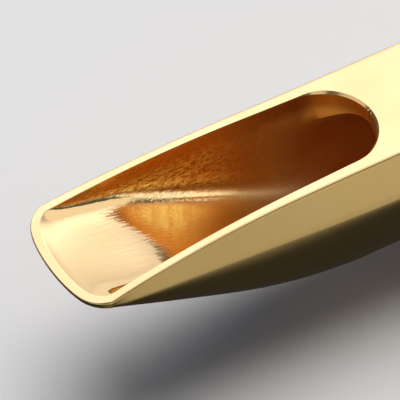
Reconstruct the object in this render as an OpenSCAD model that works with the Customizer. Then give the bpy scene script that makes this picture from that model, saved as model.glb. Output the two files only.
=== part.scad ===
// Metal tenor saxophone mouthpiece with its pressure-plate ligature.
// Millimetres. The origin is the centre of the neck bore's mouth; the bore runs along X, the tip is at -X,
// and the flat table that carries the reed faces +Z.

/* [Mouthpiece] */
// Length from the tip to the mouth of the neck bore
overall_len = 102; // [98:0.5:108]
// Radius of the round body
body_r = 9.65; // [9.5:0.05:9.8]
// Height of the table above the bore's axis
table_z = 8.45; // [8.3:0.05:8.6]
// Tip opening: how far the tip falls below the table
tip_opening = 2.57; // [2.2:0.01:3]
// Length of the facing curve
facing_len = 25.3; // [22:0.1:28]
// Half width of the table
table_half_w = 6.95; // [6.8:0.05:7.1]
// Half width that the rails gain towards the tip
rail_flare = 1.15; // [0.9:0.05:1.3]
// Half width of the window at its round end
window_r = 5.61; // [5.3:0.01:5.8]
// Half width of the window at the tip
window_tip_half_w = 6.85; // [6.4:0.05:6.9]
// Distance from the tip to the centre of the window's round end
window_centre = 32.45; // [31:0.05:34]
// Width of the tip rail
tip_rail = 0.85; // [0.6:0.05:1.2]
// Radius of the tone chamber
chamber_r = 6.6; // [6.2:0.1:6.8]
// Radius of the bore that takes the neck cork
bore_r = 8.1; // [7.9:0.05:8.2]
// Depth of that bore
bore_len = 28; // [24:0.5:29]
// Thickness of the bite plate
bite_t = 1.5; // [1:0.1:1.8]

/* [Ligature] */
// Distance from the tip to the ligature's front edge
lig_front = 50.5; // [50:0.25:51]
// Length of the ligature
lig_len = 20; // [19.8:0.1:20.4]
// Width of each ring along the mouthpiece
ring_w = 4.5; // [4:0.1:5]
// Inner radius of the rings
ring_r = 11.6; // [11.4:0.1:11.8]
// Thickness of the rings
ring_t = 1.6; // [1.4:0.1:1.8]
// Width of the bridge bar and the spine bar
bar_w = 10; // [9:0.5:11]
// Distance between the two thumb screws
screw_gap = 10.6; // [10.2:0.1:11]
// Radius of the thumb screws' thread
thread_r = 1.75; // [1.6:0.05:1.9]
// Radius of the thumb knobs
knob_r = 4.6; // [4:0.1:4.8]
// Height of the thumb knobs
knob_h = 7; // [6:0.5:9]

/* [Hidden] */
$fn = 96;

GOLD = [1.0, 0.84, 0.45];
RUBBER = [0.06, 0.06, 0.06];
NYLON = [0.12, 0.10, 0.09];

// Body shape, in distance from the tip (s) and depth below the table plane
head_len = overall_len - 30;
full_depth = table_z + body_r;
beak_end = 34;
beak_power = 1.45;
tip_depth = tip_opening + 0.28;
tip_half_w = 7.9;
tip_bow = 1.3;
tip_corner = 1.7;
arc_fade = 12;
ridge_w0 = 7.765;
ridge_w_slope = 0.0285;
ridge_d0 = 3.09;
ridge_d_slope = 0.036;
ridge_run = 48;
ridge_flare = 0.39;
ridge_flare_end = 30;
ridge_flare_rise = 0.95;
oval_end = 40;
round_start = 50;
table_end = 70;
shoulder_end = 71.2;
lower_steps = 8;

// The baffle's floor is nearly flat behind the tip rail, rolls over, and falls into the chamber
baffle_start = 2.35;
baffle_front_slope = 0.16;
baffle_slope = 0.42;
baffle_roll = 10.8;
roll_power = 24;
baffle_end = 31;
bite_front = 4.5;
bite_rear = 26;
bite_half_w = 5.2;
bite_gap = 0.04;
bite_proud = 0.06;

// The ligature's heights
ring_z = 0.9;
arch_z = 5.8;
bridge_z = arch_z + ring_r + 0.5;
bridge_t = 2.4;
spine_z = ring_z - ring_r - ring_t + 0.3;
spine_t = 1.4;
bush_r = 3.3;
bush_drop = 1.1;
bush_rise = 0.8;
screw_inset = (lig_len - screw_gap) / 2;
pad_gap = 0.05;
pad_t = 0.8;
plate_t = 1.2;
plate_len = lig_len - 2;
plate_w = 12;
plate_z = table_z + pad_gap + pad_t;
cup_r = 2.9;
cup_h = 2.9;
cup_z = plate_z + plate_t;
ball_r = 1.3;
ball_z = cup_z + 0.3 + ball_r;
neck_r = 1;
clip_t = 0.5;
clip_z = cup_z + cup_h - clip_t;
clip_r = 2.35;
knob_z = bridge_z + bridge_t + bush_rise + 0.4;
stem_top = knob_z + 1.5;
rest_half_w = 5;

function mix(a, b, t) = a + (b - a) * t;
function clamp01(t) = max(0, min(1, t));
function smooth(a, b, s) = let (t = clamp01((s - a) / (b - a))) t * t * (3 - 2 * t);

// How far an outline that bows back towards its corners has come back, u being 1 at a corner
function bowed(u, bow, corner) = bow * u * u + corner * pow(u, 8);
function tip_arc(y) = bowed(min(1, abs(y) / tip_half_w), tip_bow, tip_corner);
function arc_share(s) = pow(1 - clamp01(s / arc_fade), 2);
function corner_s(s) = s + tip_arc(tip_half_w) * arc_share(s);
function facing_drop(s) = tip_opening * pow(max(0, (facing_len - s) / facing_len), 2);
function rail_half_w(s) = table_half_w + rail_flare * pow(max(0, (beak_end - s) / beak_end), 2);
function ridge_out(s) = ridge_flare * max(0, 1 - pow(s / ridge_flare_end, 2));
function ridge_depth(s) = ridge_d0 + ridge_d_slope * min(s, ridge_run) - ridge_flare_rise * ridge_out(s);
function circle_half_w(d) = sqrt(max(0, body_r * body_r - pow(table_z - d, 2)));
function ridge_half_w(s) = min(ridge_w0 + ridge_w_slope * s + ridge_out(s), circle_half_w(ridge_depth(s)));
function beak_depth(s) = full_depth - (full_depth - tip_depth) * pow(max(0, 1 - s / beak_end), beak_power);

// The lower section's superellipse: half width, depth of its widest place, and power. It is widest
// at the ridge along the beak and window, and becomes the round body before the ligature.
function lower_share(s) = smooth(oval_end, round_start, s);
function lower_w(s) = mix(ridge_half_w(s), body_r, lower_share(s));
function lower_c(s) = mix(ridge_depth(s), table_z, lower_share(s));
function lower_n(s) = mix(2.5, 2, smooth(18, 36, s));

// Half of the lower section, from below the ridge to the middle of the back, as [y, depth]
function lower_half(s) =
    let (e = corner_s(s), w = lower_w(e), c = lower_c(e), n = lower_n(e),
         start = -acos(pow(min(1, ridge_half_w(e) / w), n / 2)),
         rise = start > -0.5 ? 0 : (c - ridge_depth(e)) / pow(sin(-start), 2 / n))
    [for (i = [1 : lower_steps])
        let (a = mix(start, 90, i / lower_steps))
        [w * pow(max(0, cos(a)), 2 / n),
         a < 0 ? c - rise * pow(sin(-a), 2 / n) : c + (beak_depth(s) - c) * pow(sin(a), 2 / n)]];

// Depth of the back's skin at s and y, for the bite plate
function back_depth(x, y) =
    let (s = x - tip_arc(y) * arc_share(x), e = corner_s(s), c = lower_c(e), n = lower_n(e))
    c + (beak_depth(s) - c) * pow(1 - pow(abs(y) / lower_w(e), n), 1 / n);

// Places across the table, as shares of its half width
table_shares = [0, 0.3, 0.55, 0.75, 0.88, 0.96, 1];

function table_half(s) =
    let (e = corner_s(s))
    concat([for (u = table_shares)
               let (y = u * rail_half_w(e)) [y, facing_drop(s + tip_arc(y) * arc_share(s))]],
           [[ridge_half_w(e), ridge_depth(e)]],
           lower_half(s));

// Half of the round section behind the table, with as many points as the others
function round_half() =
    let (ridge_a = asin((table_z - ridge_depth(ridge_run)) / body_r))
    concat([for (u = table_shares)
               let (a = 90 - u * 38) [body_r * cos(a), table_z - body_r * sin(a)]],
           [[body_r * cos(ridge_a), table_z - body_r * sin(ridge_a)]],
           [for (i = [1 : lower_steps])
               let (a = mix(-ridge_a, 90, i / lower_steps))
               [body_r * cos(a), table_z + body_r * sin(a)]]);

// A whole section: from the table's middle down the far side, then up the near side again
function section(s) =
    let (half = s < shoulder_end ? table_half(s) : round_half(), n = len(half))
    [for (p = concat(half, [for (i = [n - 2 : -1 : 1]) [-half[i][0], half[i][1]]]))
        [s - overall_len + tip_arc(p[0]) * arc_share(s), p[0], table_z - p[1]]];

head_stations = concat([0, 0.6, 1.5, 3], [for (s = [5 : 2.75 : 33]) s],
                       [36, oval_end, 43, 46.5, round_start, table_end, shoulder_end, head_len]);

// A closed skin over a list of equal-length rings of points
module skin(rings) {
    n = len(rings[0]);
    last = len(rings) - 1;
    polyhedron(
        points = [for (r = rings) each r],
        faces = concat(
            [[for (i = [n - 1 : -1 : 0]) i]],
            [for (j = [0 : last - 1], i = [0 : n - 1])
                each [[j * n + i, (j + 1) * n + (i + 1) % n, (j + 1) * n + i],
                      [j * n + i, j * n + (i + 1) % n, (j + 1) * n + (i + 1) % n]]],
            [[for (i = [0 : n - 1]) last * n + i]]));
}

module head_blank() {
    skin([for (s = head_stations) section(s)]);
}

// Moves a shape drawn in distance from the tip to the row frame
module from_tip() {
    translate([-overall_len, 0, 0]) children();
}

// A solid between two planes across Y whose outline is drawn in [distance from the tip, depth]
module side_profile(points, half_w) {
    from_tip() rotate([90, 0, 0])
        linear_extrude(height = 2 * half_w, center = true)
            polygon([for (p = points) [p[0], table_z - p[1]]]);
}

// The window's outline in plan, from the tip rail to its round end
module window_plan() {
    steps = 8;
    front = [for (i = [-steps : steps])
        let (u = i / steps)
        [tip_rail + bowed(abs(u), 1, 1.2), window_tip_half_w * u]];
    from_tip() {
        polygon(concat(front, [[window_centre, window_r], [window_centre, -window_r]]));
        translate([window_centre, 0]) circle(r = window_r);
    }
}

function baffle_front(s) = baffle_start + baffle_front_slope * s;
function baffle_rear(s) = baffle_front(baffle_roll) + baffle_slope * (s - baffle_roll);
function baffle_depth(s) =
    pow(pow(baffle_front(s), roll_power) + pow(max(0, baffle_rear(s)), roll_power), 1 / roll_power);

// What the window and baffle take out of the head: the plan above the baffle's floor
module window_cut() {
    floor_points = [for (s = [0, 8, 9.5, 10.5, 11.5, 13, 22, baffle_end]) [s, baffle_depth(s)]];
    intersection() {
        translate([0, 0, -5]) linear_extrude(height = 16) window_plan();
        side_profile(concat([[0, -1]], floor_points, [[50, 12.4], [50, -1]]), 8);
    }
}

// The round chamber under the table, with a tapered front that meets the baffle
module chamber_cut() {
    from_tip() rotate([0, 90, 0]) {
        translate([0, 0, baffle_end]) cylinder(h = head_len - baffle_end + 1, r = chamber_r);
        translate([0, 0, 22]) cylinder(h = baffle_end - 22 + 0.02, r1 = 3.4, r2 = chamber_r);
    }
}

// The bite plate: a piece of the back's skin with rounded corners, as a skin of its own
module bite_solid(gap, proud) {
    mid = (bite_front + bite_rear) / 2;
    half = (bite_rear - bite_front) / 2 + gap;
    skin([for (t = [-1, -0.985, -0.93, -0.8, -0.4, 0, 0.4, 0.8, 0.93, 0.985, 1])
        let (x = mid + t * half,
             w = (bite_half_w + gap) * mix(0.72, 1, sqrt(1 - pow(abs(t), 16))),
             ys = [for (u = [-1, -0.6, -0.2, 0.2, 0.6, 1]) u * w])
        concat([for (y = ys) [x - overall_len, y, table_z - back_depth(x, y) + bite_t + gap]],
               [for (i = [len(ys) - 1 : -1 : 0])
                   [x - overall_len, ys[i], table_z - back_depth(x, ys[i]) - proud]])]);
}

module mouthpiece_head() {
    color(GOLD) difference() {
        head_blank();
        window_cut();
        chamber_cut();
        bite_solid(bite_gap, 2);
    }
}

module bite_plate() {
    color(RUBBER) bite_solid(0, bite_proud);
}

// Turned shank with the neck bore, a shoulder bead and a rolled end bead
module shank() {
    x0 = head_len - overall_len;
    color(GOLD) rotate([0, 90, 0]) rotate_extrude()
        polygon([
            [chamber_r, x0], [body_r, x0], [body_r, x0 + 1.6],
            [body_r + 0.7, x0 + 2.2], [body_r + 0.7, x0 + 3.6], [body_r, x0 + 4.2],
            [body_r - 0.15, x0 + 5], [body_r - 0.15, x0 + 22],
            [body_r + 0.35, x0 + 22.8], [body_r + 0.35, x0 + 23.6], [body_r - 0.05, x0 + 24.1],
            [body_r - 0.05, x0 + 24.7], [body_r + 0.75, x0 + 25.4], [body_r + 0.85, x0 + 27.2],
            [body_r + 0.75, x0 + 29.2], [body_r + 0.1, -0.2], [body_r - 0.1, 0],
            [bore_r, 0], [bore_r, -bore_len], [chamber_r, -bore_len]
        ]);
}

// Oval ring outline in the YZ plane, flat where the bridge and the spine sit
module ring_outline(r) {
    translate([0, ring_z]) circle(r = r);
    translate([0, arch_z]) circle(r = r);
    translate([-r, ring_z]) square([2 * r, arch_z - ring_z]);
}

module ring(x) {
    color(GOLD) difference() {
        from_tip() translate([x, 0, 0]) rotate([90, 0, 90]) difference() {
            linear_extrude(height = ring_w) difference() {
                ring_outline(ring_r + ring_t);
                ring_outline(ring_r);
            }
            translate([-20, bridge_z, -1]) cube([40, 10, ring_w + 2]);
            translate([-20, spine_z - 10, -1]) cube([40, 10, ring_w + 2]);
        }
        fixing_holes();
        at_screws(bridge_z - 3) cylinder(h = 6, r = bush_r + 0.02);
    }
}

module front_ring() { ring(lig_front); }
module rear_ring() { ring(lig_front + lig_len - ring_w); }

// Centres of the small screws that hold the bars to the rings
fixing_in = 1.7;
fixing_x = [lig_front + fixing_in, lig_front + lig_len - fixing_in];
fixing_y = 3.5;
fixing_r = 0.7;
fixing_head_r = 1.2;

module at_fixings() {
    for (x = fixing_x, y = [-fixing_y, fixing_y])
        from_tip() translate([x, y, 0]) children();
}

module fixing_holes() {
    at_fixings() {
        translate([0, 0, bridge_z - 3]) cylinder(h = 9, r = fixing_r + 0.02, $fn = 32);
        translate([0, 0, spine_z - 5]) cylinder(h = 8, r = fixing_r + 0.02, $fn = 32);
    }
}

module bridge_screws() {
    color(GOLD) at_fixings() {
        translate([0, 0, bridge_z - 0.7]) cylinder(h = bridge_t + 0.8, r = fixing_r, $fn = 32);
        translate([0, 0, bridge_z + bridge_t]) cylinder(h = 0.8, r = fixing_head_r, $fn = 32);
    }
}

module spine_screws() {
    color(GOLD) at_fixings()
        translate([0, 0, spine_z - spine_t + 0.1]) cylinder(h = spine_t + 0.6, r = fixing_r, $fn = 32);
}

// A flat bar with rounded ends, centred on Y, from its lowest face up
module flat_bar(len, w, t, r) {
    for (x = [r, len - r], y = [r - w / 2, w / 2 - r])
        translate([x, y, 0]) cylinder(h = t, r = r, $fn = 48);
    translate([0, r - w / 2, 0]) cube([len, w - 2 * r, t]);
    translate([r, -w / 2, 0]) cube([len - 2 * r, w, t]);
}

module at_screws(z) {
    for (x = [screw_x(0), screw_x(1)]) from_tip() translate([x, 0, z]) children();
}

function screw_x(i) = lig_front + screw_inset + i * screw_gap;

module bridge_bar() {
    color(GOLD) difference() {
        from_tip() translate([lig_front, 0, bridge_z]) flat_bar(lig_len, bar_w, bridge_t, 2);
        at_screws(bridge_z - 1) cylinder(h = bridge_t + 2, r = bush_r + 0.02);
        fixing_holes();
    }
}

module spine_bar() {
    color(GOLD) difference() {
        from_tip() translate([lig_front, 0, spine_z - spine_t]) flat_bar(lig_len, bar_w, spine_t, 2);
        fixing_holes();
        // The open slot that lightens the spine between the rings
        from_tip() translate([lig_front + ring_w + 2, 0, spine_z - spine_t - 1])
            flat_bar(lig_len - 2 * ring_w - 4, 4, spine_t + 2, 1.9);
    }
}

module side_bar(side) {
    len = lig_len - 2 * ring_w;
    color(GOLD) from_tip()
        translate([lig_front + ring_w, side * (ring_r + ring_t / 2), (ring_z + arch_z) / 2])
            rotate([90, 0, 0]) translate([0, 0, -ring_t / 2]) difference() {
                translate([0, -3, 0]) cube([len, 6, ring_t]);
                translate([2.5, 0, -1]) flat_bar(len - 5, 2.6, ring_t + 2, 1.29);
            }
}

module side_bar_left() { side_bar(1); }
module side_bar_right() { side_bar(-1); }

module screw_bush(i) {
    color(GOLD) from_tip() translate([screw_x(i), 0, bridge_z - bush_drop]) difference() {
        cylinder(h = bush_drop + bridge_t + bush_rise, r = bush_r);
        translate([0, 0, -1]) cylinder(h = 8, r = thread_r + 0.05);
    }
}

module screw_bush_front() { screw_bush(0); }
module screw_bush_rear() { screw_bush(1); }

// Nylon pad between a ring and the back of the body
module rest_pad(x) {
    color(NYLON) from_tip() translate([x + 0.25, 0, 0]) intersection() {
        rotate([90, 0, 90]) linear_extrude(height = ring_w - 0.5) difference() {
            translate([0, ring_z]) circle(r = ring_r - 0.01);
            circle(r = body_r + 0.04);
        }
        translate([-1, -rest_half_w, -15]) cube([ring_w + 2, 2 * rest_half_w, 10]);
    }
}

module rest_pad_front() { rest_pad(lig_front); }
module rest_pad_rear() { rest_pad(lig_front + lig_len - ring_w); }

module pressure_plate() {
    color(GOLD) from_tip() translate([lig_front + (lig_len - plate_len) / 2, 0, plate_z])
        flat_bar(plate_len, plate_w, plate_t, 2.4);
}

module reed_pad(side) {
    color(NYLON) from_tip()
        translate([lig_front + (lig_len - plate_len) / 2 + 1.2, side * 4.4, table_z + pad_gap])
            flat_bar(plate_len - 2.4, 1.8, pad_t, 0.85);
}

module reed_pad_left() { reed_pad(1); }
module reed_pad_right() { reed_pad(-1); }

// Cup that holds a screw's ball end, with a step for the clip that keeps it there
module swivel_cup(i) {
    color(GOLD) from_tip() translate([screw_x(i), 0, cup_z]) difference() {
        cylinder(h = cup_h, r = cup_r);
        translate([0, 0, 0.3]) cylinder(h = cup_h, r = ball_r + 0.06);
        translate([0, 0, cup_h - clip_t - 0.02]) cylinder(h = 1, r = clip_r + 0.02);
    }
}

module swivel_cup_front() { swivel_cup(0); }
module swivel_cup_rear() { swivel_cup(1); }

// Horseshoe clip over the ball, round the screw's neck
module swivel_clip(i) {
    color(GOLD) from_tip() translate([screw_x(i), 0, clip_z]) difference() {
        cylinder(h = clip_t, r = clip_r);
        translate([0, 0, -1]) cylinder(h = 3, r = neck_r + 0.08);
        translate([0, -neck_r - 0.08, -1]) cube([4, 2 * neck_r + 0.16, 3]);
    }
}

module swivel_clip_front() { swivel_clip(0); }
module swivel_clip_rear() { swivel_clip(1); }

// Ball, neck and threaded stem, turned in one piece
module screw_stem(i) {
    color(GOLD) from_tip() translate([screw_x(i), 0, 0]) rotate_extrude() union() {
        intersection() {
            translate([0, ball_z]) circle(r = ball_r);
            translate([0, ball_z - ball_r]) square([3, 2 * ball_r]);
        }
        translate([0, ball_z]) square([neck_r, clip_z + clip_t + 0.9 - ball_z]);
        translate([0, clip_z + clip_t + 0.8]) square([thread_r, stem_top - clip_z - clip_t - 0.8]);
    }
}

module screw_stem_front() { screw_stem(0); }
module screw_stem_rear() { screw_stem(1); }

// Knurled knob with a waist under it and a crowned top
module thumb_knob(i) {
    color(GOLD) from_tip() translate([screw_x(i), 0, 0]) rotate_extrude()
        polygon([
            [0, stem_top + 0.02], [thread_r + 0.02, stem_top + 0.02], [thread_r + 0.02, knob_z],
            [2.6, knob_z], [2.7, knob_z + 0.9], [knob_r - 0.5, knob_z + 1.2], [knob_r, knob_z + 1.7],
            [knob_r, knob_z + knob_h - 1.2], [knob_r - 0.5, knob_z + knob_h - 0.7],
            [knob_r - 1.6, knob_z + knob_h - 0.2], [0, knob_z + knob_h]
        ]);
}

module thumb_knob_front() { thumb_knob(0); }
module thumb_knob_rear() { thumb_knob(1); }

mouthpiece_head();
shank();
bite_plate();
front_ring();
rear_ring();
bridge_bar();
spine_bar();
side_bar_left();
side_bar_right();
bridge_screws();
spine_screws();
screw_bush_front();
screw_bush_rear();
rest_pad_front();
rest_pad_rear();
pressure_plate();
reed_pad_left();
reed_pad_right();
swivel_cup_front();
swivel_cup_rear();
swivel_clip_front();
swivel_clip_rear();
screw_stem_front();
screw_stem_rear();
thumb_knob_front();
thumb_knob_rear();
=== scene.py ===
import math

import bmesh
import bpy
import numpy as np
from mathutils import Matrix, Quaternion, Vector
from mathutils.geometry import tessellate_polygon


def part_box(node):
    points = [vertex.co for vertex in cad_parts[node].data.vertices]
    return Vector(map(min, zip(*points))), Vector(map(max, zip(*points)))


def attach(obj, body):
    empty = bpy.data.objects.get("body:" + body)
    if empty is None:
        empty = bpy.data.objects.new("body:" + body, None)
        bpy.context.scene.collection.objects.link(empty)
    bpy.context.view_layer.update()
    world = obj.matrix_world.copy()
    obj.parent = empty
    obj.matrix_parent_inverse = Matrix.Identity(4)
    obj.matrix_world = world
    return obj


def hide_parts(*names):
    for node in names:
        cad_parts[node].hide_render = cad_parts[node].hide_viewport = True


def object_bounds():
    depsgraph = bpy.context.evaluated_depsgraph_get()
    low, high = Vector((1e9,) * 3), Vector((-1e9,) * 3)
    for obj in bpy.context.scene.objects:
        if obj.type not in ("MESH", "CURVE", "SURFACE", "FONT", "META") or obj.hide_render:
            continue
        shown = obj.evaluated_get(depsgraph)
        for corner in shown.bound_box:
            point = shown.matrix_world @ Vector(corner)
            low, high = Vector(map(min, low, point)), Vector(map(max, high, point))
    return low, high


# A gold-plated tenor saxophone mouthpiece and its two-screw ligature.
# Shapes are worked out in millimetres, in the row frame; MM turns them into metres.
MM = 0.001

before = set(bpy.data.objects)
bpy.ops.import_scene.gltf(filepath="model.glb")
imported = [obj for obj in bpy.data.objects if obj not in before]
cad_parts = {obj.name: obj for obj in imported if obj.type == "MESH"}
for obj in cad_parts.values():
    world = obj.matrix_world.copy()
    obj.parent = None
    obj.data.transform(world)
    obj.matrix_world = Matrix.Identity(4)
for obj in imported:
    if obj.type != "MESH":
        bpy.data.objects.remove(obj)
cad_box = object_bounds()
scene = bpy.context.scene

# ---- dimensions

head_lo, head_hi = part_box("mouthpiece_head")
TIP_X = head_lo.x / MM
BODY_R = -head_lo.z / MM
HEAD_LEN = (head_hi.x - head_lo.x) / MM

# The mouthpiece: distances from the tip, half widths, and depths below the table
TABLE_Z = 8.45
FULL_DEPTH = TABLE_Z + BODY_R
TIP_OPENING = 2.57
FACING_LEN = 25.3
TIP_THICKNESS = 0.28
TIP_HALF_W = 7.9
TIP_BOW = 1.3
TIP_CORNER = 1.7
ARC_FADE = 12.0
TABLE_HALF_W = 6.95
RAIL_FLARE = 1.15
TIP_RAIL = 0.85
BEAK_END = 34.0
BEAK_POWER = 1.45
RIDGE_HALF_W = 7.765
RIDGE_SPREAD = 0.0285
RIDGE_DEPTH = 3.09
RIDGE_FALL = 0.036
RIDGE_RUN = 48.0
RIDGE_FLARE = 0.39
RIDGE_FLARE_END = 30.0
RIDGE_FLARE_RISE = 0.95
OVAL_END = 40.0
ROUND_START = 50.0
TABLE_END = 70.0
SHOULDER_END = 71.2
WINDOW_R = 5.61
WINDOW_TIP_HALF_W = 6.85
WINDOW_CENTRE = 32.45
CHAMBER_R = 6.6
BAFFLE_START = 2.29
BAFFLE_FRONT_SLOPE = 0.16
BAFFLE_SLOPE = 0.42
BAFFLE_ROLL = 10.8
ROLL_POWER = 24
FLUSH_FADE = 11.0
WINDOW_BREAK = 0.05
WINDOW_END_BREAK = 0.22
RAIL_ROUND = 0.22
RIDGE_ROUND_TIP = 0.2
RIDGE_ROUND_BODY = 0.45
RIDGE_ROUND_RUN = 20.0
TIP_EDGE_ROUND = 0.16

# The shank and the ligature
NECK_BORE_R = 8.1
NECK_BORE_LEN = 28.0
BITE_T = 1.5
BITE_PROUD = 0.06
BITE_EDGE = 0.5
RING_T = 1.6
RING_LOW_Z = 0.9
RING_HIGH_Z = 5.8
BAR_CORNER = 2.0
SPINE_SLOT = (7.0, 4.0)
SIDE_BAR_CORNER = 0.5
SIDE_SLOT_W = 2.6
SIDE_SLOT_INSET = 5.0
BUSH_R = 3.3
PLATE_CORNER = 2.4
THREAD_R = 1.75
THREAD_DEPTH = 0.32
PITCH = 0.75
BALL_R = 1.3
NECK_R = 1.0
NECK_TOP = 2.1
CLIP_R = 2.35
CLIP_T = 0.5
KNOB_FLUTES = 36
FLUTE_DEPTH = 0.3
GRIP_INSET = 0.08
FIXING_R = 0.7
FIXING_HEAD_R = 1.2
GAP = 0.02

# Where points lie along a flat stretch: close to its ends, so that shading stays flat between them
TOP_SHARES = np.array([0, 0.03, 0.25, 0.5, 0.75, 0.96, 1])
SIDE_SHARES = np.array([0, 0.06, 0.35, 0.65, 0.94, 1])
BEND_STEPS = 5
UPPER_POINTS = len(TOP_SHARES) + len(SIDE_SHARES) + 2 * (BEND_STEPS - 1)
RAIL_STEPS = 12
LOWER_STEPS = 36
FLOOR_STEPS = 2 * LOWER_STEPS
WALL_ROWS = 6
CURVE_STEPS = 60
RING_STEPS = 91
TURN_STEPS = 64
THREAD_STEPS = 48

# ---- small helpers


def mix(a, b, t):
    return a + (b - a) * t


def smooth(a, b, s):
    t = np.clip((s - a) / (b - a), 0, 1)
    return t * t * (3 - 2 * t)


def bowed(u, bow, corner):
    """How far an outline that bows back towards its corners has come back, u being 1 at a corner."""
    return bow * u**2 + corner * u**8


def row_points(points):
    """Points as (distance from the tip, y, depth below the table), in the row frame in metres."""
    p = np.asarray(points, float)
    return np.stack([p[..., 0] + TIP_X, p[..., 1], TABLE_Z - p[..., 2]], -1) * MM


def add_object(name, data):
    obj = bpy.data.objects.new(name, data)
    scene.collection.objects.link(obj)
    return obj


def new_object(name, verts, faces, material, body, node, sharp=35.0, weld=1e-7, second=()):
    """A welded, smooth-shaded mesh object that rides on a body and stands for a CAD node.

    Faces whose number is in second take the material that is appended after this one.
    """
    mesh = bpy.data.meshes.new(name)
    mesh.from_pydata([tuple(v) for v in verts], [], [tuple(f) for f in faces])
    for k in second:
        mesh.polygons[k].material_index = 1
    obj = add_object(name, mesh)
    tidy(mesh, weld, sharp)
    mesh.materials.append(material)
    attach(obj, body)
    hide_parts(node)
    return obj


def tidy(mesh, weld, sharp):
    """Joins points in one place, turns faces outwards and shades them smooth between sharp edges."""
    bm = bmesh.new()
    bm.from_mesh(mesh)
    bmesh.ops.remove_doubles(bm, verts=bm.verts, dist=weld)
    bmesh.ops.dissolve_degenerate(bm, dist=weld, edges=bm.edges)
    bmesh.ops.recalc_face_normals(bm, faces=bm.faces)
    for f in bm.faces:
        f.smooth = True
    bm.to_mesh(mesh)
    bm.free()
    mesh.set_sharp_from_angle(angle=math.radians(sharp))


def grid_faces(rows, cols, start=0, wrap=False, flip=False):
    """Quads over a grid of rows by cols points, numbered from start; wrap closes each row."""
    faces = []
    for r in range(rows - 1):
        for c in range(cols if wrap else cols - 1):
            a, b = start + r * cols + c, start + r * cols + (c + 1) % cols
            quad = (a, b, b + cols, a + cols)
            faces.append(quad[::-1] if flip else quad)
    return faces


def lengths(curve):
    return np.concatenate([[0], np.cumsum(np.linalg.norm(np.diff(curve, axis=0), axis=1))])


def along(curve, distances):
    """The points of a polyline at these distances from its start."""
    run = lengths(curve)
    return np.stack([np.interp(distances, run, curve[:, k]) for k in range(curve.shape[1])], 1)


def bend(p0, corner, p2, steps):
    """Points of a curve that rounds a corner between p0 and p2, without its ends."""
    t = (np.arange(1, steps) / steps)[:, None]
    return (1 - t) ** 2 * p0 + 2 * t * (1 - t) * corner + t**2 * p2


def rounded_run(top, side, lower, r1, r2):
    """One run of points over three curves that meet at two corners, rounded by r1 and r2."""
    run_a, run_b, run_c = lengths(top)[-1], lengths(side)[-1], lengths(lower)[-1]
    a = along(top, TOP_SHARES * (run_a - r1))
    b = along(side, r1 + SIDE_SHARES * (run_b - r1 - r2))
    c = along(lower, r2 + np.linspace(0, 1, LOWER_STEPS + 1) * (run_c - r2))
    first_bend = bend(a[-1], top[-1], b[0], BEND_STEPS)
    second_bend = bend(b[-1], side[-1], c[0], BEND_STEPS)
    return np.concatenate([a, first_bend, b, second_bend, c])


# ---- the mouthpiece's shape


def tip_arc(y):
    """How far back from the tip's foremost point the tip is at y."""
    return bowed(np.minimum(1, np.abs(y) / TIP_HALF_W), TIP_BOW, TIP_CORNER)


def arc_share(s):
    """How much of the tip's bow is left at s, as the sections straighten out behind it."""
    return (1 - np.clip(s / ARC_FADE, 0, 1)) ** 2


def corner_s(s):
    """Distance from the tip of a section's outer ends."""
    return s + (TIP_BOW + TIP_CORNER) * arc_share(s)


def facing_drop(s):
    return TIP_OPENING * np.maximum(0, (FACING_LEN - s) / FACING_LEN) ** 2


def rail_half_w(s):
    return TABLE_HALF_W + RAIL_FLARE * np.maximum(0, (BEAK_END - s) / BEAK_END) ** 2


def ridge_out(s):
    return RIDGE_FLARE * max(0, 1 - (s / RIDGE_FLARE_END) ** 2)


def ridge_depth(s):
    return RIDGE_DEPTH + RIDGE_FALL * min(s, RIDGE_RUN) - RIDGE_FLARE_RISE * ridge_out(s)


def ridge_half_w(s):
    on_circle = math.sqrt(BODY_R**2 - (TABLE_Z - ridge_depth(s)) ** 2)
    return min(RIDGE_HALF_W + RIDGE_SPREAD * s + ridge_out(s), on_circle)


def beak_depth(s):
    fall = FULL_DEPTH - TIP_OPENING - TIP_THICKNESS
    return FULL_DEPTH - fall * np.maximum(0, 1 - s / BEAK_END) ** BEAK_POWER


def lower_shape(s):
    """The lower section's superellipse: half width, depth of its widest place, and power."""
    g = smooth(OVAL_END, ROUND_START, s)
    power = mix(2.5, 2, smooth(18, 36, s))
    return mix(ridge_half_w(s), BODY_R, g), mix(ridge_depth(s), TABLE_Z, g), power


def lower_curve(s):
    """From the ridge down to the middle of the back, as (y, depth)."""
    e = corner_s(s)
    w, c, n = lower_shape(e)
    start = -math.acos(min(1, (ridge_half_w(e) / w) ** (n / 2)))
    rise = 0 if start > -0.01 else (c - ridge_depth(e)) / math.sin(-start) ** (2 / n)
    a = np.linspace(start, math.pi / 2, CURVE_STEPS)
    y = w * np.maximum(0, np.cos(a)) ** (2 / n)
    up = c - rise * np.abs(np.sin(a)) ** (2 / n)
    down = c + (beak_depth(s) - c) * np.abs(np.sin(a)) ** (2 / n)
    return np.stack([y, np.where(a < 0, up, down)], 1)


def back_depth(x, y):
    """Depth of the back's skin at x and y."""
    s = x - tip_arc(y) * arc_share(x)
    w, c, n = lower_shape(corner_s(s))
    return c + (beak_depth(s) - c) * (1 - (np.abs(y) / w) ** n) ** (1 / n)


def window_half_w(s):
    t = (s - corner_s(0)) / (WINDOW_CENTRE - corner_s(0))
    return mix(WINDOW_TIP_HALF_W, WINDOW_R, t)


def front_curve(y):
    """Distance from the tip to the tip rail's rear edge."""
    return TIP_RAIL + bowed(np.minimum(1, np.abs(y) / WINDOW_TIP_HALF_W), 1.0, 1.2)


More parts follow.
